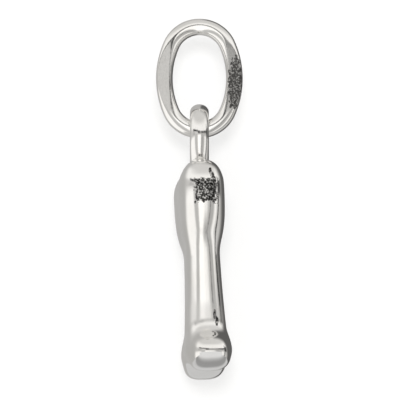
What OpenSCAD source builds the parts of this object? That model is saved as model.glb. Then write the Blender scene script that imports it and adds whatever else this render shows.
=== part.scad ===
// Bone charm: a solid cast dog-bone drop with a soldered eye, hung on an oval jump ring.
// Millimetres. X runs across the bone's face, -Y is the face, +Z is up.
// The origin is the inner top of the jump ring, where a chain would carry the charm.

/* [Jump ring] */
// Diameter of the round ring wire
ring_wire = 1.15; // [0.8:0.05:1.4]
// Clear width inside the oval
ring_open_w = 3.7; // [3.2:0.1:5]
// Clear height inside the oval
ring_open_h = 6.2; // [5.5:0.1:8]
// How far the sides bow out past the two end bends
ring_bow = 0.32; // [0.1:0.02:0.6]

/* [Eye] */
// Diameter of the eye's wire
eye_wire = 1.1; // [0.9:0.05:1.4]
// Diameter of the hole that the jump ring passes through
eye_hole = 3; // [2.4:0.1:3.4]
// Gap between the eye and the ring wire that it hangs on
link_gap = 0.08; // [0.05:0.01:0.15]

/* [Bone] */
// Length of the bone from lobe tip to lobe tip
bone_length = 14.4; // [12:0.1:20]
// Half-width of the shaft at its waist, seen from the front
shaft_half_w = 2; // [1.4:0.05:2.2]
// Growth of that half-width over half the shaft's length, away from the waist
shaft_flare = 0.22; // [0:0.02:0.4]
// Distance of the waist below the middle of the bone
waist_drop = 5; // [0:0.1:5.2]
// Half-thickness of the shaft, seen from the side
shaft_half_t = 1.14; // [0.9:0.01:1.2]
// Squareness of the shaft's section, where 2 is an ellipse
shaft_square = 4.5; // [2:0.5:8]
// Half-height of the shaft's rounded tips
shaft_cap = 1; // [0.7:0.05:1.2]
// Distance of each lobe's centre from the bone's middle line
lobe_spread = 1.95; // [1.6:0.05:2.2]
// Half-width of one lobe, seen from the front
lobe_half_w = 1.75; // [1.5:0.05:2.2]
// Fullness of the lobes, where 2 is an ellipsoid
lobe_square = 2.2; // [2:0.1:3]
// Half-thickness of the two upper lobes before their blend
upper_half_t = 1.12; // [1:0.02:1.5]
// Height of the upper lobes above their widest point
upper_half_h = 2.4; // [1.8:0.05:2.8]
// Height of the upper lobes below it, towards the shaft
upper_root_h = 1.8; // [1.4:0.05:3]
// Half-thickness of the two lower lobes before their blend
lower_half_t = 1.3; // [1.1:0.02:1.5]
// Height of the lower lobes below their widest point
lower_half_h = 1; // [0.9:0.05:2.4]
// Height of the lower lobes above it, towards the shaft
lower_root_h = 1.5; // [1.2:0.05:3]
// Depth of the shaft's tips below the lobes' tips
notch_depth = 0.95; // [0.6:0.05:1.3]
// Blend radius in the notch between two lobes
notch_blend = 1; // [0.6:0.05:1.6]
// Blend radius where the shaft runs into the lobes
neck_blend = 1.8; // [0.8:0.1:2.2]

/* [Fit of the eye to the bone] */
// Depth that the eye's foot is let into the notch
foot_depth = 0.32; // [0.2:0.02:0.5]
// Film of solder between the eye's foot and its seat
solder_gap = 0.02; // [0.01:0.01:0.05]
// Distance that the eye is set behind the bone's middle
eye_set_back = 0.1; // [0:0.02:0.3]
// Lean of the bone off the upright eye, in degrees
bone_lean = 2.7; // [0:0.1:6]
// Turn of the bone about the upright, off the eye's plane, in degrees
bone_turn = 6; // [-10:0.5:10]

/* [Hidden] */
silver = [0.86, 0.85, 0.83];

// Four-centre oval of the ring's wire, as centre-line sizes
oval_half_w = (ring_open_w + ring_wire) / 2;
oval_half_h = (ring_open_h + ring_wire) / 2;
oval_end_r = oval_half_w - ring_bow;
oval_end_z = oval_half_h - oval_end_r;
oval_side_r = (oval_half_w^2 + oval_end_z^2 - oval_end_r^2) / (2 * ring_bow);
oval_side_y = oval_side_r - oval_half_w;
oval_join = atan2(oval_end_z, oval_side_y);
ring_stations = 72;
ring_sides = 18;

// Point of the oval's centre line whose outward direction is at angle a, from the arc that it lies on
function oval_point(a) =
    abs(sin(a)) > sin(oval_join)
        ? [0, sign(sin(a)) * oval_end_z] + oval_end_r * [cos(a), sin(a)]
        : [-sign(cos(a)) * oval_side_y, 0] + oval_side_r * [cos(a), sin(a)];

// Point of the wire's surface there, at angle b round the wire
function wire_point(a, b) =
    let (p = oval_point(a) + ring_wire / 2 * cos(b) * [cos(a), sin(a)])
    [ring_wire / 2 * sin(b), p.x, p.y];

// The eye hangs inside the ring's lower bend
eye_mid_r = (eye_hole + eye_wire) / 2;
eye_z = -ring_open_h + link_gap - eye_hole / 2;
eye_foot_z = eye_z - eye_hole / 2 - eye_wire;

// Counts of the bone's surface: rings over each end, rings along the shaft, points a quarter turn
cap_rings = 15;
shaft_rings = 46;
quarter_points = 18;
root_steps = 14;
reach_share = 2;

// Heights along the bone's own axis, from its middle
upper_c = bone_length / 2 - upper_half_h;
lower_c = -bone_length / 2 + lower_half_h;
shaft_end = bone_length / 2 - notch_depth - shaft_cap;
bone_half_w = lobe_spread + lobe_half_w;
bone_half_t = max(upper_half_t, lower_half_t);

// Distance to a rounded block of half-sizes r and squareness e, negative inside it
function rounded_block(p, r, e) =
    let (
        q = [abs(p.x) / r.x, abs(p.y) / r.y, abs(p.z) / r.z],
        n = (q.x^e + q.y^e + q.z^e)^(1 / e),
        slope = n^(1 - e) * norm([q.x^(e - 1) / r.x, q.y^(e - 1) / r.y, q.z^(e - 1) / r.z])
    )
    n < 1e-6 ? -min(r) : (n - 1) / slope;

// Smallest of two distances, rounded over a blend radius k
function blend(a, b, k) =
    let (h = max(k - abs(a - b), 0) / k)
    min(a, b) - h * h * k / 4;

// Distance to the shaft, a rod that widens away from its waist, with rounded tips between the lobes
function shaft(p) =
    let (
        along = (min(max(p.z, -shaft_end), shaft_end) + waist_drop) / shaft_end,
        widen = 1 + shaft_flare / shaft_half_w * along^2
    )
    rounded_block(
        [p.x / widen, p.y, max(abs(p.z) - shaft_end, 0)],
        [shaft_half_w, shaft_half_t, shaft_cap],
        shaft_square
    );

// Distance to the pair of lobes at one end, taller on one side of their widest height c than on the other
function lobes(p, c, half_t, half_h, root_h) =
    let (r = [lobe_half_w, half_t, (p.z - c) * c > 0 ? half_h : root_h])
    blend(
        rounded_block([p.x - lobe_spread, p.y, p.z - c], r, lobe_square),
        rounded_block([p.x + lobe_spread, p.y, p.z - c], r, lobe_square),
        notch_blend
    );

// Distance to the whole bone; each half of its length sees only its own lobes
function bone(p) =
    blend(
        shaft(p),
        p.z > 0 ? lobes(p, upper_c, upper_half_t, upper_half_h, upper_root_h)
                : lobes(p, lower_c, lower_half_t, lower_half_h, lower_root_h),
        neck_blend
    );

// Share of a ray from point o along d at which it leaves the bone, by halving
function surface_share(o, d, lo = 0, hi = reach_share, steps = root_steps) =
    let (mid = (lo + hi) / 2)
    steps == 0 ? mid
    : bone(o + mid * d) < 0 ? surface_share(o, d, mid, hi, steps - 1)
    : surface_share(o, d, lo, mid, steps - 1);

function surface_point(o, d) = o + surface_share(o, d) * d;

// One quarter of a ring of surface points, from the side (+X) to the back (+Y)
function quarter_ring(c, tilt, cap) = [
    for (i = [0 : quarter_points])
        let (a = 90 * i / quarter_points)
        surface_point(
            [0, 0, c],
            [bone_half_w * cos(tilt) * cos(a), bone_half_t * cos(tilt) * sin(a), cap * sin(tilt)]
        )
];

// A whole ring, mirrored from its quarter
function whole_ring(q) = [
    each q,
    for (i = [quarter_points - 1 : -1 : 0]) [-q[i].x, q[i].y, q[i].z],
    for (i = [1 : quarter_points]) [-q[i].x, -q[i].y, q[i].z],
    for (i = [quarter_points - 1 : -1 : 1]) [q[i].x, -q[i].y, q[i].z]
];

// Rings from the upper notch, over the upper lobes, down the shaft and over the lower lobes
bone_rings = [
    for (i = [1 : cap_rings])
        whole_ring(quarter_ring(upper_c, 90 * (1 - i / cap_rings), upper_half_h)),
    for (i = [1 : shaft_rings])
        whole_ring(quarter_ring(upper_c + (lower_c - upper_c) * i / shaft_rings, 0, 0)),
    for (i = [1 : cap_rings - 1])
        whole_ring(quarter_ring(lower_c, -90 * i / cap_rings, lower_half_h))
];
upper_notch = surface_point([0, 0, upper_c], [0, 0, upper_half_h]);
lower_notch = surface_point([0, 0, lower_c], [0, 0, -lower_half_h]);

// Oval jump ring
module jump_ring() {
    color(silver)
        translate([0, 0, -ring_open_h / 2])
            tube_loop([
                for (i = [0 : ring_stations - 1])
                    let (a = 360 * i / ring_stations)
                    [for (j = [0 : ring_sides - 1]) wire_point(a, 360 * j / ring_sides)]
            ]);
}

// Closed tube through rings of points, each ring joined to the next
module tube_loop(rings) {
    n = len(rings);
    per = len(rings[0]);
    faces = [
        for (i = [0 : n - 1], j = [0 : per - 1])
            let (
                i2 = (i + 1) % n,
                j2 = (j + 1) % per
            )
            each [
                [i * per + j, i2 * per + j, i2 * per + j2],
                [i * per + j, i2 * per + j2, i * per + j2]
            ]
    ];
    polyhedron([for (r = rings) each r], faces, convexity = 4);
}

// Eye soldered into the upper notch
module eye_loop() {
    color(silver)
        eye_torus(0);
}

// The eye's round wire, thickened by a margin
module eye_torus(margin) {
    translate([0, 0, eye_z])
        rotate([90, 0, 0])
            rotate_extrude($fn = 96)
                translate([eye_mid_r, 0])
                    circle(r = eye_wire / 2 + margin, $fn = 48);
}

// Cast bone, hung by its upper notch, with a seat for the eye's foot
module bone_body() {
    color(silver)
        difference() {
            translate([0, -eye_set_back, eye_foot_z + foot_depth])
                rotate([bone_lean, 0, bone_turn])
                    translate(-upper_notch)
                        bone_skin();
            eye_torus(solder_gap);
        }
}

// Closed skin through the bone's rings, with a point in each notch
module bone_skin() {
    rows = len(bone_rings);
    per = 4 * quarter_points;
    last = (rows - 1) * per;
    upper = rows * per;
    lower = upper + 1;
    faces = [
        for (j = [0 : per - 1])
            let (k = (j + 1) % per)
            each [
                [upper, k, j],
                for (i = [0 : per : last - per]) each [
                    [i + j, i + k, i + per + k],
                    [i + j, i + per + k, i + per + j]
                ],
                [last + j, last + k, lower]
            ]
    ];
    polyhedron([for (r = bone_rings) each r, upper_notch, lower_notch], faces, convexity = 6);
}

jump_ring();
eye_loop();
bone_body();
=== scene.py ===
import math

import bpy
import numpy as np
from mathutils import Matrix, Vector


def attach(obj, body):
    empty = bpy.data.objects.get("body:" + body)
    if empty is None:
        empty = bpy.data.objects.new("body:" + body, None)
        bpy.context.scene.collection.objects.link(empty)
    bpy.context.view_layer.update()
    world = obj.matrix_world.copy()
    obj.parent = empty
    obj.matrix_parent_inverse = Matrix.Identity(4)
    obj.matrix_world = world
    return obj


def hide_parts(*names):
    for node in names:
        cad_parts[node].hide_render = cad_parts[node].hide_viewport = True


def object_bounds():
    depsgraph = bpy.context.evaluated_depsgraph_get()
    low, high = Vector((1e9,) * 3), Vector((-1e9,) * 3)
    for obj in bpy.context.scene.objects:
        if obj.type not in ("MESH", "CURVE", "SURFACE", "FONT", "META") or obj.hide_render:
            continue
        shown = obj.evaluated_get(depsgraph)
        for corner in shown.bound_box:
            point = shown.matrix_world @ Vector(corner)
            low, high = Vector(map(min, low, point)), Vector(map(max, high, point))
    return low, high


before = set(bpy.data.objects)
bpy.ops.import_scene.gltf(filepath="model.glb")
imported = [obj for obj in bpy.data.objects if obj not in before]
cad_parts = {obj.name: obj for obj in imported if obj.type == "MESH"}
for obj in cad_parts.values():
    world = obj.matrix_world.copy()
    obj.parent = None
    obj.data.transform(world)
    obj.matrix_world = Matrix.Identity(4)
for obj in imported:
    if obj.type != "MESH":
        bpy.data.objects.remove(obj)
cad_low, cad_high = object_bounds()

MM = 0.001

# Sizes of the solids, in millimetres, as in the part's source
RING_WIRE = 1.15
RING_OPEN_W = 3.7
RING_OPEN_H = 6.2
RING_BOW = 0.32
EYE_WIRE = 1.1
EYE_HOLE = 3.0
LINK_GAP = 0.08
BONE_LENGTH = 14.4
SHAFT_HALF = (2.0, 1.14, 1.0)
SHAFT_FLARE = 0.22
WAIST_DROP = 5.0
SHAFT_SQUARE = 4.5
LOBE_SPREAD = 1.95
LOBE_HALF_W = 1.75
LOBE_SQUARE = 2.2
UPPER_HALF_T = 1.12
UPPER_HALF_H = 2.4
LOWER_HALF_T = 1.3
LOWER_HALF_H = 1.0
NOTCH_DEPTH = 0.95
NOTCH_BLEND = 1.0
NECK_BLEND = 1.8
FOOT_DEPTH = 0.32
EYE_SET_BACK = 0.1
BONE_LEAN = math.radians(2.7)
BONE_TURN = math.radians(6.0)

# Where the polished skins depart from the solids, in millimetres.
# Flats worn on the ring's two sides: half-thickness there, half-height, share by which the wire is spread,
# slope outwards and rounding of their edges
FLAT_HALF_T = 0.5
FLAT_REACH = 2.9
FLAT_SPREAD = 0.3
FLAT_SLOPE = 0.14
FLAT_EDGE = 0.06
# Width of the eye's wire along its axis, where it is rubbed a little flat
EYE_SKIN_W = 1.3
# Reach of the solder's fillet round the eye's foot
SOLDER_REACH = 0.5
# Fullness of the bone's edges, and of those of the lower lobes
EDGE_FULLNESS = 3.0
LOWER_FULLNESS = 2.8
# Height of the lobes' roots towards the shaft, and the blend of the lower neck
UPPER_SKIN_ROOT = 2.4
LOWER_SKIN_ROOT = 1.4
LOWER_BLEND = 1.2
# Share by which the shaft thickens downwards, between two heights of the bone
LOWER_SWELL = 0.26
SWELL_FROM = 3.0
SWELL_TO = -5.0

# Places and half-sizes that follow from these
RING_MID_W = (RING_OPEN_W + RING_WIRE) / 2
RING_MID_H = (RING_OPEN_H + RING_WIRE) / 2
EYE_MID_R = (EYE_HOLE + EYE_WIRE) / 2
EYE_Z = -RING_OPEN_H + LINK_GAP - EYE_HOLE / 2
EYE_FOOT_Z = EYE_Z - EYE_HOLE / 2 - EYE_WIRE
UPPER_C = BONE_LENGTH / 2 - UPPER_HALF_H
LOWER_C = -BONE_LENGTH / 2 + LOWER_HALF_H
SHAFT_END = BONE_LENGTH / 2 - NOTCH_DEPTH - SHAFT_HALF[2]
BONE_HALF_W = LOBE_SPREAD + LOBE_HALF_W
BONE_HALF_T = max(UPPER_HALF_T, LOWER_HALF_T)

# Fineness of the meshes
BONE_AROUND = 224
CAP_RINGS = 56
SHAFT_RINGS = 200
WIRE_STATIONS = 288
EYE_SIDES = 56
RING_SIDES = 128
# Search for the bone's surface: how far its rays reach, as a share of their length, and its halvings
RAY_REACH = 2.0
HALVINGS = 26
# Smallest share that a power is taken of
TINY = 1e-9


def rounded_block(p, half, outline, edge):
    """Distance to a rounded block with its own fullness of outline and of edge, negative inside it."""
    q = np.maximum(np.abs(p) / half, TINY)
    flat = (q[..., 0] ** outline + q[..., 2] ** outline) ** (1 / outline)
    n = (flat**edge + q[..., 1] ** edge) ** (1 / edge)
    rise = (flat / n) ** (edge - 1)
    slope_x = rise * (q[..., 0] / flat) ** (outline - 1) / half[..., 0]
    slope_y = (q[..., 1] / n) ** (edge - 1) / half[..., 1]
    slope_z = rise * (q[..., 2] / flat) ** (outline - 1) / half[..., 2]
    return (n - 1) / np.sqrt(slope_x**2 + slope_y**2 + slope_z**2)


def smooth_min(a, b, reach):
    """Smaller of two distances, rounded over a blend radius."""
    h = np.maximum(reach - np.abs(a - b), 0) / reach
    return np.minimum(a, b) - h * h * reach / 4


def shaft(p):
    """Distance to the rod between the lobes, which widens away from its waist and thickens downwards."""
    along = (np.clip(p[..., 2], -SHAFT_END, SHAFT_END) + WAIST_DROP) / SHAFT_END
    widen = 1 + SHAFT_FLARE / SHAFT_HALF[0] * along**2
    down = np.clip((p[..., 2] - SWELL_FROM) / (SWELL_TO - SWELL_FROM), 0, 1)
    thicken = 1 + LOWER_SWELL * down**2
    z = np.maximum(np.abs(p[..., 2]) - SHAFT_END, 0)
    folded = np.stack([p[..., 0] / widen, p[..., 1] / thicken, z], axis=-1)
    return rounded_block(folded, np.array(SHAFT_HALF), SHAFT_SQUARE, EDGE_FULLNESS)


def lobes(p, centre, half_t, half_h, root_h, edge):
    """Distance to the two lobes at one end, whose roots towards the shaft have their own height."""
    height = np.where((p[..., 2] - centre) * centre > 0, half_h, root_h)
    half = np.stack([np.full_like(height, LOBE_HALF_W), np.full_like(height, half_t), height], axis=-1)
    right = rounded_block(p - [LOBE_SPREAD, 0, centre], half, LOBE_SQUARE, edge)
    left = rounded_block(p - [-LOBE_SPREAD, 0, centre], half, LOBE_SQUARE, edge)
    return smooth_min(right, left, NOTCH_BLEND)


def bone(p):
    """Distance to the bone in its own frame, before it is hung."""
    rod = shaft(p)
    upper = lobes(p, UPPER_C, UPPER_HALF_T, UPPER_HALF_H, UPPER_SKIN_ROOT, EDGE_FULLNESS)
    lower = lobes(p, LOWER_C, LOWER_HALF_T, LOWER_HALF_H, LOWER_SKIN_ROOT, LOWER_FULLNESS)
    upper_end = smooth_min(rod, upper, NECK_BLEND)
    lower_end = smooth_min(rod, lower, LOWER_BLEND)
    return np.where(p[..., 2] > 0, upper_end, lower_end)


def eye(p):
    """Distance to the eye's wire in the part's frame."""
    from_axis = np.hypot(p[..., 0], p[..., 2] - EYE_Z) - EYE_MID_R
    return np.hypot(from_axis, p[..., 1] * EYE_WIRE / EYE_SKIN_W) - EYE_WIRE / 2


def leave_point(origin, ray, distance):
    """Point at which each ray leaves a shape, by halving."""
    low = np.zeros(ray.shape[:-1])
    high = np.full(ray.shape[:-1], RAY_REACH)
    for _ in range(HALVINGS):
        mid = (low + high) / 2
        inside = distance(origin + mid[..., None] * ray) < 0
        low = np.where(inside, mid, low)
        high = np.where(inside, high, mid)
    return origin + low[..., None] * ray


def notch(centre, height, distance):
    """Point between the two lobes of one end, on the bone's middle line."""
    return leave_point(np.array([0, 0, centre]), np.array([0, 0, height]), distance)


UPPER_NOTCH = notch(UPPER_C, UPPER_HALF_H, bone)


def hang(p):
    """Moves points of the bone's own frame to where it hangs on the eye."""
    p = p - UPPER_NOTCH
    y = p[..., 1] * math.cos(BONE_LEAN) - p[..., 2] * math.sin(BONE_LEAN)
    z = p[..., 1] * math.sin(BONE_LEAN) + p[..., 2] * math.cos(BONE_LEAN)
    turned_x = p[..., 0] * math.cos(BONE_TURN) - y * math.sin(BONE_TURN)
    turned_y = p[..., 0] * math.sin(BONE_TURN) + y * math.cos(BONE_TURN)
    return np.stack([turned_x, turned_y - EYE_SET_BACK, z + EYE_FOOT_Z + FOOT_DEPTH], axis=-1)


def soldered_bone(p):
    """Distance to the bone with the solder drawn up round the eye's foot."""
    h = np.maximum(SOLDER_REACH - np.abs(eye(hang(p))), 0) / SOLDER_REACH
    return bone(p) - h * h * SOLDER_REACH / 4


def around(count):
    """Even angles over one full turn."""
    return np.linspace(0, 2 * math.pi, count, endpoint=False)


def quads(rows, per, closed):
    """Faces of a grid of rings, each ring joined to the next."""
    made = []
    for i in range(rows if closed else rows - 1):
        down = (i + 1) % rows * per
        for j in range(per):
            k = (j + 1) % per
            made.append((i * per + j, down + j, down + k, i * per + k))
    return made


def bone_mesh():
    """Points and faces of the bone's skin, in rings from the upper lobes down to the lower ones."""
    fan = np.linspace(math.pi / 2, 0, CAP_RINGS + 1)[1:]
    along = np.linspace(UPPER_C, LOWER_C, SHAFT_RINGS + 1)[1:]
    tilt = np.concatenate([fan, np.zeros(SHAFT_RINGS), -fan[::-1][1:]])
    centre = np.concatenate([np.full(len(fan), UPPER_C), along, np.full(len(fan) - 1, LOWER_C)])
    cap = np.where(tilt > 0, UPPER_HALF_H, LOWER_HALF_H)
    turn = around(BONE_AROUND)
    ray = np.stack([
        BONE_HALF_W * np.outer(np.cos(tilt), np.cos(turn)),
        BONE_HALF_T * np.outer(np.cos(tilt), np.sin(turn)),
        np.outer(cap * np.sin(tilt), np.ones(BONE_AROUND)),
    ], axis=-1)
    rows = len(tilt)
    origin = np.zeros((rows, 1, 3))
    origin[:, 0, 2] = centre
    skin = leave_point(origin, ray, soldered_bone)
    top = notch(UPPER_C, UPPER_HALF_H, soldered_bone)
    tip = notch(LOWER_C, -LOWER_HALF_H, soldered_bone)
    points = np.concatenate([skin.reshape(-1, 3), [top, tip]])
    faces = quads(rows, BONE_AROUND, False)
    last = (rows - 1) * BONE_AROUND
    top_index = rows * BONE_AROUND
    for j in range(BONE_AROUND):
        k = (j + 1) % BONE_AROUND
        faces.append((top_index, j, k))
        faces.append((last + k, last + j, top_index + 1))
    return hang(points), faces


def eye_mesh():
    """Points and faces of the eye's wire."""
    a = around(WIRE_STATIONS)[:, None]
    b = around(EYE_SIDES)[None, :]
    r = EYE_MID_R + EYE_WIRE / 2 * np.cos(b)
    y = np.broadcast_to(EYE_SKIN_W / 2 * np.sin(b), (WIRE_STATIONS, EYE_SIDES))
    points = np.stack([r * np.cos(a), y, EYE_Z + r * np.sin(a)], axis=-1)
    return points.reshape(-1, 3), quads(WIRE_STATIONS, EYE_SIDES, True)


def oval_points(a):
    """Points of the ring's four-centre oval whose outward direction is at angle a."""
    end_r = RING_MID_W - RING_BOW
    end_z = RING_MID_H - end_r
    side_r = (RING_MID_W**2 + end_z**2 - end_r**2) / (2 * RING_BOW)
    side_y = side_r - RING_MID_W
    on_end = np.abs(np.sin(a)) > math.sin(math.atan2(end_z, side_y))
    radius = np.where(on_end, end_r, side_r)
    y = np.where(on_end, 0, -np.sign(np.cos(a)) * side_y) + radius * np.cos(a)
    z = np.where(on_end, np.sign(np.sin(a)) * end_z, 0) + radius * np.sin(a)
    return y, z


def ring_mesh():
    """Points and faces of the oval jump ring, whose wire is worn flat on its two sides."""
    a = around(WIRE_STATIONS)
    b = around(RING_SIDES)
    y, z = oval_points(a)
    out = RING_WIRE / 2 * np.cos(b)
    spread = 1 + FLAT_SPREAD * np.maximum(1 - (z / FLAT_REACH) ** 2, 0) ** 2
    thick = RING_WIRE / 2 * np.outer(spread, np.abs(np.sin(b)))
    side = y[:, None] + np.outer(np.cos(a), out)
    limit = FLAT_HALF_T - FLAT_SLOPE * (np.abs(side) - RING_MID_W)
    points = np.stack([
        np.sign(np.sin(b)) * smooth_min(thick, limit, FLAT_EDGE),
        side,
        z[:, None] + np.outer(np.sin(a), out) - RING_OPEN_H / 2,
    ], axis=-1)
    return points.reshape(-1, 3), quads(WIRE_STATIONS, RING_SIDES, True)


# Silver's two tones, the scale and detail of their patches, and the heights between which they change
SILVER_CLEAN = (0.9, 0.893, 0.88)
SILVER_WARM = (0.86, 0.85, 0.83)
PATCH_NOISE = (420, 3)
PATCH_RANGE = (0.35, 0.7)
# Polishing lines: scale, detail and roughness of their noise, its range, the polish that it gives,
# and the strength and depth of their rise
LINE_NOISE = (1000, 4, 0.65)
LINE_RANGE = (0.3, 0.75)
POLISH = (0.06, 0.16)
LINE_STRENGTH = 0.08
BUMP_DEPTH = 0.02 * MM
# How fine the lines are along each axis, on the wires and on the bone
WIRE_LINES = (6, 6, 6)
BONE_LINES = (8, 8, 1.2)
# Cast grain and its rise
GRAIN_NOISE = (8000, 2, 0.6)
GRAIN_STRENGTH = 0.6
# Near-black painted into the low spots of the cast grain as painted dark reflection: its colour, the grain's
# heights that hold it, and its share between them
PAINTED_DARK_REFLECTION = (0.035, 0.035, 0.033)
PIT_RANGE = (0.5, 0.58)
LAND_SHARE = 0.4
# Edge of a zone of grain, as a share of its half-sizes, and the noise by which it wanders to both sides
ZONE_EDGE = (0.9, 1.0)
RAGGED_NOISE = (4500, 2)
RAGGED_RANGE = (0.3, 0.7)
RAGGED_REACH = 0.16
# Zones of cast grain whose low spots carry painted dark reflection: centre and half-sizes in millimetres,
# shape, and weight of the painted dark
RING_GRAIN_AND_PAINTED_DARK = (((0.7, 2.52, -3.65), (0.52, 0.6, 2.25), "egg", 0.9),)
# On the bone, the patches and streaks are dark reflections painted over a real grain bump; the patch at
# negative x repeats the near one on the far side
BONE_GRAIN_AND_PAINTED_DARK = (
    ((3.77, 0.45, -11.83), (1.0, 0.78, 0.82), "box", 1.0),
    ((-3.78, -0.4, -11.83), (1.0, 0.78, 0.82), "box", 1.0),
    ((3.2, 0.74, -10.45), (1.5, 0.12, 0.28), "egg", 1.0),
    ((3.4, 0.88, -10.78), (1.5, 0.14, 0.28), "egg", 1.0),
    ((3.5, 1.02, -11.12), (1.5, 0.14, 0.28), "egg", 1.0),
    ((2.4, 1.04, -20.05), (1.5, 0.11, 0.4), "egg", 1.0),
    ((2.5, 1.18, -20.5), (1.5, 0.13, 0.4), "egg", 1.0),
)
# Lower neck, which the polishing wheel reaches less: centre and half-sizes, its edge and its roughness
BONE_DULL = (((0, 0, -20.1), (6.0, 4.0, 1.4)),)
DULL_EDGE = (0.45, 1.0)
DULL_ROUGHNESS = 0.26


class Nodes:
    """Short calls for building one node tree."""

    def __init__(self, tree):
        self.tree = tree
        tree.nodes.clear()

    def add(self, kind, **values):
        node = self.tree.nodes.new(kind)
        for key, value in values.items():
            setattr(node, key, value)
        return node

    def link(self, out, into):
        self.tree.links.new(out, into)

    def place(self):
        """Place on the piece, in metres."""
        return self.add("ShaderNodeTexCoord").outputs["Object"]

    def noise(self, vector, scale, detail, roughness=0.5):
        node = self.add("ShaderNodeTexNoise")
        node.inputs["Scale"].default_value = scale
        node.inputs["Detail"].default_value = detail
        node.inputs["Roughness"].default_value = roughness
        self.link(vector, node.inputs["Vector"])
        return node.outputs["Fac"]

    def spread(self, value, low, high, out_low, out_high):
        """Value carried smoothly from one range to another."""
        node = self.add("ShaderNodeMapRange", interpolation_type="SMOOTHSTEP")
        node.inputs["From Min"].default_value = low
        node.inputs["From Max"].default_value = high
        node.inputs["To Min"].default_value = out_low
        node.inputs["To Max"].default_value = out_high
        self.link(value, node.inputs["Value"])
        return node.outputs["Result"]

    def mix(self, factor, a, b):
        """Mix of two fixed colours."""
        node = self.add("ShaderNodeMix", data_type="RGBA")
        self.link(factor, node.inputs["Factor"])
        node.inputs[6].default_value = (*a, 1)
        node.inputs[7].default_value = (*b, 1)
        return node.outputs[2]

    def blend(self, factor, colour, over):
        """Fixed colour laid over another."""
        node = self.add("ShaderNodeMix", data_type="RGBA")
        self.link(factor, node.inputs["Factor"])
        self.link(colour, node.inputs[6])
        node.inputs[7].default_value = (*over, 1)
        return node.outputs[2]

    def fade(self, mask, level, value):
        """Level where the mask is nothing, and a fixed value where it is one."""
        node = self.add("ShaderNodeMix", data_type="FLOAT")
        self.link(mask, node.inputs["Factor"])
        self.link(level, node.inputs["A"])
        node.inputs["B"].default_value = value
        return node.outputs["Result"]

    def calc(self, kind, a, b=None):
        node = self.add("ShaderNodeMath", operation=kind)
        self.link(a, node.inputs[0])
        if b is not None:
            self.link(b, node.inputs[1])
        return node.outputs[0]

    def dot(self, vector, axis):
        node = self.add("ShaderNodeVectorMath", operation="DOT_PRODUCT")
        node.inputs[1].default_value = axis
        self.link(vector, node.inputs[0])
        return node.outputs["Value"]

    def length(self, vector):
        node = self.add("ShaderNodeVectorMath", operation="LENGTH")
        self.link(vector, node.inputs[0])
        return node.outputs["Value"]

    def share(self, where, centre, half):
        """Way from a shape's centre as a share of its half-sizes, both in millimetres."""
        off = self.add("ShaderNodeVectorMath", operation="SUBTRACT")
        off.inputs[1].default_value = Vector(centre) * MM
        self.link(where, off.inputs[0])
        share = self.add("ShaderNodeVectorMath", operation="DIVIDE")
        share.inputs[1].default_value = Vector(half) * MM
        self.link(off.outputs[0], share.inputs[0])
        return share.outputs[0]

    def egg(self, where, centre, half):
        """Distance from an egg shape's centre, which is one on its surface."""
        return self.length(self.share(where, centre, half))

    def box(self, where, centre, half):
        """Distance from a box's centre, which is one on its surface."""
        size = self.add("ShaderNodeVectorMath", operation="ABSOLUTE")
        self.link(self.share(where, centre, half), size.inputs[0])
        axes = self.add("ShaderNodeSeparateXYZ")
        self.link(size.outputs["Vector"], axes.inputs[0])
        most = self.calc("MAXIMUM", axes.outputs[0], axes.outputs[1])
        return self.calc("MAXIMUM", most, axes.outputs[2])

    def zone(self, where, centre, half, kind, ragged):
        """One inside a box or an egg shape, with an uneven edge."""
        shape = self.egg if kind == "egg" else self.box
        wander = self.spread(ragged, *RAGGED_RANGE, -RAGGED_REACH, RAGGED_REACH)
        uneven = self.calc("ADD", shape(where, centre, half), wander)
        return self.spread(uneven, *ZONE_EDGE, 1, 0)

    def window(self, angle, low, high, soft):
        """One between two angles in degrees, fading to nothing past them."""
        low, high, soft = math.radians(low), math.radians(high), math.radians(soft)
        rise = self.spread(angle, low - soft, low + soft, 0, 1)
        fall = self.spread(angle, high - soft, high + soft, 1, 0)
        return self.calc("MULTIPLY", rise, fall)

    def bump(self, height, strength, distance, normal=None):
        node = self.add("ShaderNodeBump")
        if isinstance(strength, float):
            node.inputs["Strength"].default_value = strength
        else:
            self.link(strength, node.inputs["Strength"])
        node.inputs["Distance"].default_value = distance
        self.link(height, node.inputs["Height"])
        if normal:
            self.link(normal, node.inputs["Normal"])
        return node.outputs["Normal"]


def new_material(name):
    """Empty material, the short calls for its nodes, and the socket that takes its surface."""
    mat = bpy.data.materials.new(name)
    mat.use_nodes = True
    n = Nodes(mat.node_tree)
    return mat, n, n.add("ShaderNodeOutputMaterial").inputs["Surface"]


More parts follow.
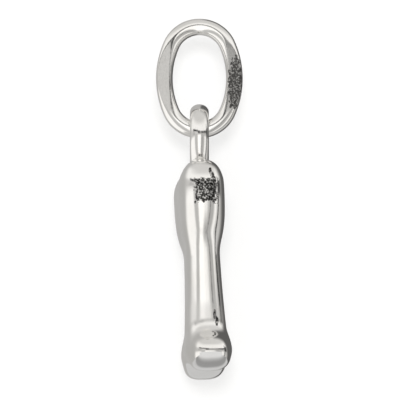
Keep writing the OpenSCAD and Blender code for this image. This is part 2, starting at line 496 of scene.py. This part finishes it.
def silver(name, line_scale, zones=(), dull=()):
    """Polished silver with fine lines and warmer patches, with zones of cast grain whose low spots carry
    painted dark reflection, and with zones of duller polish.
    """
    mat, n, surface = new_material(name)
    shader = n.add("ShaderNodeBsdfPrincipled")
    shader.inputs["Metallic"].default_value = 1.0
    n.link(shader.outputs["BSDF"], surface)
    where = n.place()
    stretch = n.add("ShaderNodeMapping")
    stretch.inputs["Scale"].default_value = line_scale
    n.link(where, stretch.inputs["Vector"])
    lines = n.noise(stretch.outputs["Vector"], *LINE_NOISE)
    rough = n.spread(lines, *LINE_RANGE, *POLISH)
    for centre, half in dull:
        reached_less = n.spread(n.egg(where, centre, half), *DULL_EDGE, 1, 0)
        rough = n.fade(reached_less, rough, DULL_ROUGHNESS)
    patches = n.spread(n.noise(where, *PATCH_NOISE), *PATCH_RANGE, 0, 1)
    colour = n.mix(patches, SILVER_CLEAN, SILVER_WARM)
    normal = n.bump(lines, LINE_STRENGTH, BUMP_DEPTH)
    grain = n.noise(where, *GRAIN_NOISE)
    ragged = n.noise(where, *RAGGED_NOISE)
    for centre, half, kind, weight in zones:
        zone = n.zone(where, centre, half, kind, ragged)
        rise = n.spread(zone, 0, 1, 0, GRAIN_STRENGTH)
        normal = n.bump(grain, rise, BUMP_DEPTH, normal)
        # Painted dark reflection: near-black laid into the grain's low spots inside each zone, while the
        # grain's rise stays a bump
        painted_dark_in_pits = n.spread(grain, *PIT_RANGE, weight, weight * LAND_SHARE)
        colour = n.blend(n.calc("MULTIPLY", zone, painted_dark_in_pits), colour, PAINTED_DARK_REFLECTION)
    n.link(rough, shader.inputs["Roughness"])
    n.link(colour, shader.inputs["Base Color"])
    n.link(normal, shader.inputs["Normal"])
    return mat


def mesh_piece(name, shape, body, node, material):
    """Smooth mesh, from points in millimetres, that stands for a solid."""
    points, faces = shape
    mesh = bpy.data.meshes.new(name)
    mesh.from_pydata((points * MM).tolist(), [], faces)
    mesh.validate()
    mesh.polygons.foreach_set("use_smooth", [True] * len(mesh.polygons))
    mesh.materials.append(material)
    obj = bpy.data.objects.new(name, mesh)
    bpy.context.scene.collection.objects.link(obj)
    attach(obj, body)
    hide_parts(node)


def make_pieces():
    """Skins of the three solids."""
    ring_polish = silver("ring_polish", WIRE_LINES, RING_GRAIN_AND_PAINTED_DARK)
    eye_polish = silver("eye_polish", WIRE_LINES)
    bone_polish = silver("bone_polish", BONE_LINES, BONE_GRAIN_AND_PAINTED_DARK, BONE_DULL)
    mesh_piece("ring_wire", ring_mesh(), "ring", "jump_ring", ring_polish)
    mesh_piece("eye_wire", eye_mesh(), "charm", "eye_loop", eye_polish)
    mesh_piece("bone_skin", bone_mesh(), "charm", "bone_body", bone_polish)


# Photograph's view: direction in degrees, scale, and the ring's inner top in its frame
VIEW_AZIMUTH = 90.0
VIEW_ELEVATION = -12.0
FRAME_PX = 400
PX_PER_MM = 14.4
ORIGIN_PX = (199.4, 35.0)
LENS_MM = 300.0
SENSOR_MM = 36.0
# Nearest and furthest that the camera sees, as shares of its distance
CLIP_NEAR = 0.1
CLIP_FAR = 20


def view_axes(azimuth, elevation):
    """Directions to the camera, to the image's right and to its top."""
    a, e = math.radians(azimuth), math.radians(elevation)
    back = Vector((math.sin(a) * math.cos(e), -math.cos(a) * math.cos(e), math.sin(e)))
    right = Vector((math.cos(a), math.sin(a), 0))
    return back, right, back.cross(right)


BACK, RIGHT, UP = view_axes(VIEW_AZIMUTH, VIEW_ELEVATION)


def make_camera():
    """Camera at the photograph's angle and scale."""
    data = bpy.data.cameras.new("camera")
    data.lens = LENS_MM
    data.sensor_width = SENSOR_MM
    distance = FRAME_PX / PX_PER_MM * LENS_MM / SENSOR_MM * MM
    data.clip_start = distance * CLIP_NEAR
    data.clip_end = distance * CLIP_FAR
    across = (FRAME_PX / 2 - ORIGIN_PX[0]) / PX_PER_MM * MM
    down = (FRAME_PX / 2 - ORIGIN_PX[1]) / PX_PER_MM * MM
    cam = bpy.data.objects.new("camera", data)
    cam.location = RIGHT * across - UP * down + BACK * distance
    cam.rotation_mode = "QUATERNION"
    cam.rotation_quaternion = (-BACK).to_track_quat("-Z", "Y")
    bpy.context.scene.collection.objects.link(cam)
    bpy.context.scene.camera = cam


# Middle of the object, and what the sheets on the stage share
MIDDLE = (cad_low + cad_high) / 2
WHITE = (1, 1, 1)
UPRIGHT = Vector((0, 0, 1))
SQUARE = ((-1, -1), (1, -1), (1, 1), (-1, 1))
# Veil: gap behind the charm, half-size, share of it at which the cloth starts to fade, and its weight
VEIL_GAP = 0.3 * MM
VEIL_HALF = 60 * MM
VEIL_FADE = 0.5
VEIL_WEIGHT = 0.4
# Floor: height, half-size, share of it at which the paint starts to fade, and colour
FLOOR_Z = -90 * MM
FLOOR_HALF = 300 * MM
FLOOR_FADE = 0.4
FLOOR_COLOUR = (0.93, 0.93, 0.92)
# Light tent: radius, segments and rings of its dome, and tint of its cloth
TENT_RADIUS = 400 * MM
TENT_SEGMENTS = 64
TENT_RINGS = 32
TENT_TINT = (1.0, 0.985, 0.96)
# Cloth's level from low to high: up from, up to, level below, level above
TENT_BASE = (0.24, 0.4, 0.6, 1.0)
# Panels in degrees: left, right and their softness about the upright axis, from the camera's side,
# then low, high and their softness, then level
TENT_PANELS = (
    (-200, 200, 1, 45, 120, 12, 0.7),
    (-120, -50, 6, -60, 5, 3, 1.08),
    (-17, 15, 5, -70, 10, 1, 1.2),
    (-42, -26, 4, -70, 8, 3, 0.55),
    (22, 50, 4, -70, 9, 2, 0.48),
    (26, 29, 1, -70, 9, 2, 0.1),
    (56, 76, 6, -70, 6, 2, 1.0),
    (85, 92, 1.5, -60, 30, 3, 0.06),
    (-80, 84, 6, 9, 15, 1.5, 0.5),
    (-46, -11, 3, 10.5, 17, 1, 0.68),
    (-75, -12, 5, 18, 23, 1, 0.04),
    (-14, 4, 4, 13, 21, 1, 0.06),
    (4, 20, 3, 14, 19, 1, 0.3),
    (20, 84, 4, 14, 19, 1, 0.04),
    (84, 112, 3, 7, 21, 1.5, 0.05),
    (-200, 200, 1, -120, -66, 8, 0.55),
)
# Cloth behind the charm: the angles from the camera at which it starts and is full, and its level
REAR_ANGLE = (math.radians(96), math.radians(138))
REAR_LEVEL = 0.48
# Its darker right side: the shares of the radius at which it starts and is full, and its level
REAR_RIGHT_EDGE = (0.0, 0.16)
REAR_RIGHT_LEVEL = 0.12
# Grey card under the charm: gap, half-width and height of the front edge that is bent up
CARD_GAP = 1.0 * MM
CARD_HALF = 6.2 * MM
CARD_LIP = 2.4 * MM
# How the card lightens towards the camera: from, to, and its two levels
CARD_FRONT = (2 * MM, 6 * MM, 0.62, 0.8)
# Darker strip across the card: where it comes in, where it goes out, and its level
CARD_SHADE_FROM = (0, 1.5 * MM)
CARD_SHADE_TO = (2.5 * MM, 5 * MM)
CARD_SHADE = 0.34
# Soft lamp: width, distance, height above the view, and power
LAMP_SIZE = 75 * MM
LAMP_DISTANCE = 300 * MM
LAMP_RISE = math.radians(15)
LAMP_WATTS = 0.35


def stage_mesh(name, points, faces, material):
    """Flat-faced mesh that belongs to the stage and not to the object."""
    mesh = bpy.data.meshes.new(name)
    mesh.from_pydata(points, [], faces)
    mesh.materials.append(material)
    obj = bpy.data.objects.new(name, mesh)
    bpy.context.scene.collection.objects.link(obj)
    return obj


def sheet_material(name, colour, half, fade, weight, front_only):
    """Matt colour that fades out towards a sheet's rim, and may show from its front only."""
    mat, n, surface = new_material(name)
    matt = n.add("ShaderNodeBsdfDiffuse")
    matt.inputs["Color"].default_value = (*colour, 1)
    clear = n.add("ShaderNodeBsdfTransparent")
    shown = n.spread(n.length(n.place()), half * fade, half, weight, 0)
    if front_only:
        back = n.add("ShaderNodeNewGeometry").outputs["Backfacing"]
        shown = n.calc("MULTIPLY", shown, n.spread(back, 0, 1, 1, 0))
    pick = n.add("ShaderNodeMixShader")
    n.link(shown, pick.inputs[0])
    n.link(clear.outputs[0], pick.inputs[1])
    n.link(matt.outputs[0], pick.inputs[2])
    n.link(pick.outputs[0], surface)
    return mat


def make_floor():
    """Plain pale floor below the hanging charm and below the photograph's view."""
    paint = sheet_material("floor_paint", FLOOR_COLOUR, FLOOR_HALF, FLOOR_FADE, 1, False)
    corners = [(x * FLOOR_HALF, y * FLOOR_HALF, 0) for x, y in SQUARE]
    floor = stage_mesh("floor", corners, [(0, 1, 2, 3)], paint)
    floor.location = (0, 0, FLOOR_Z)
    floor.visible_glossy = False


def make_veil():
    """Thin upright veil close behind the charm, which takes its soft shadow and isn't seen in its polish."""
    cloth = sheet_material("veil_cloth", WHITE, VEIL_HALF, VEIL_FADE, VEIL_WEIGHT, True)
    corners = [(RIGHT * x + UPRIGHT * y) * VEIL_HALF for x, y in SQUARE]
    veil = stage_mesh("veil", corners, [(0, 1, 2, 3)], cloth)
    veil.location = (cad_low.x - VEIL_GAP, MIDDLE.y, MIDDLE.z)
    veil.visible_glossy = False


def tent_material():
    """Pale glowing cloth with brighter and darker panels, by angle from the photograph's view."""
    mat, n, surface = new_material("tent_cloth")
    glow = n.add("ShaderNodeEmission")
    glow.inputs["Color"].default_value = (*TENT_TINT, 1)
    n.link(glow.outputs[0], surface)
    where = n.place()
    up = n.dot(where, UPRIGHT / TENT_RADIUS)
    right = n.dot(where, RIGHT / TENT_RADIUS)
    front = n.dot(where, Vector((BACK.x, BACK.y, 0)) / TENT_RADIUS)
    side = n.calc("ARCTAN2", right, front)
    height = n.calc("ARCSINE", up)
    level = n.spread(up, *TENT_BASE)
    for left_end, right_end, soft, low_end, high_end, fade, value in TENT_PANELS:
        across = n.window(side, left_end, right_end, soft)
        upwards = n.window(height, low_end, high_end, fade)
        level = n.fade(n.calc("MULTIPLY", across, upwards), level, value)
    from_camera = n.calc("ARCCOSINE", n.dot(where, BACK / TENT_RADIUS))
    rear = n.spread(from_camera, *REAR_ANGLE, 0, 1)
    level = n.fade(rear, level, REAR_LEVEL)
    rear_right = n.calc("MULTIPLY", rear, n.spread(right, *REAR_RIGHT_EDGE, 0, 1))
    level = n.fade(rear_right, level, REAR_RIGHT_LEVEL)
    n.link(level, glow.inputs["Strength"])
    return mat


def make_tent():
    """Round light tent about the charm, not seen by the camera itself."""
    bpy.ops.mesh.primitive_uv_sphere_add(
        segments=TENT_SEGMENTS,
        ring_count=TENT_RINGS,
        radius=TENT_RADIUS,
    )
    tent = bpy.context.object
    tent.name = "light_tent"
    tent.data.materials.append(tent_material())
    tent.visible_camera = False
    tent.visible_shadow = False


def card_material():
    """Glowing grey that lightens towards the camera, with a darker strip across it."""
    mat, n, surface = new_material("card_paint")
    glow = n.add("ShaderNodeEmission")
    n.link(glow.outputs[0], surface)
    along = n.dot(n.place(), Vector((1, 0, 0)))
    level = n.spread(along, *CARD_FRONT)
    coming = n.spread(along, *CARD_SHADE_FROM, 0, 1)
    going = n.spread(along, *CARD_SHADE_TO, 1, 0)
    strip = n.calc("MULTIPLY", coming, going)
    n.link(n.fade(strip, level, CARD_SHADE), glow.inputs["Strength"])
    return mat


def make_card():
    """Grey card close under the charm, with its front edge bent up, seen only in the charm's polish."""
    h = CARD_HALF
    corners = [(x * h, y * h, 0) for x, y in SQUARE]
    lip = [(h, h, CARD_LIP), (h, -h, CARD_LIP)]
    card = stage_mesh("under_card", corners + lip, [(0, 1, 2, 3), (1, 5, 4, 2)], card_material())
    card.location = (MIDDLE.x, MIDDLE.y, cad_low.z - CARD_GAP)
    card.visible_camera = False
    card.visible_shadow = False
    card.visible_diffuse = False


def make_lamp():
    """Soft lamp above the camera, which gives the veil its shadow."""
    data = bpy.data.lights.new("soft_lamp", "AREA")
    data.shape = "DISK"
    data.size = LAMP_SIZE
    data.energy = LAMP_WATTS
    lamp = bpy.data.objects.new("soft_lamp", data)
    towards = BACK * math.cos(LAMP_RISE) + UP * math.sin(LAMP_RISE)
    lamp.location = MIDDLE + towards * LAMP_DISTANCE
    lamp.rotation_mode = "QUATERNION"
    lamp.rotation_quaternion = (-towards).to_track_quat("-Z", "Y")
    lamp.visible_camera = False
    lamp.visible_glossy = False
    bpy.context.scene.collection.objects.link(lamp)


def make_world():
    """White surroundings and the plain view transform."""
    scene = bpy.context.scene
    scene.world = bpy.data.worlds.new("world")
    scene.world.use_nodes = True
    background = scene.world.node_tree.nodes["Background"]
    background.inputs["Color"].default_value = (*WHITE, 1)
    scene.view_settings.view_transform = "Standard"


make_pieces()
make_camera()
make_floor()
make_veil()
make_tent()
make_card()
make_lamp()
make_world()
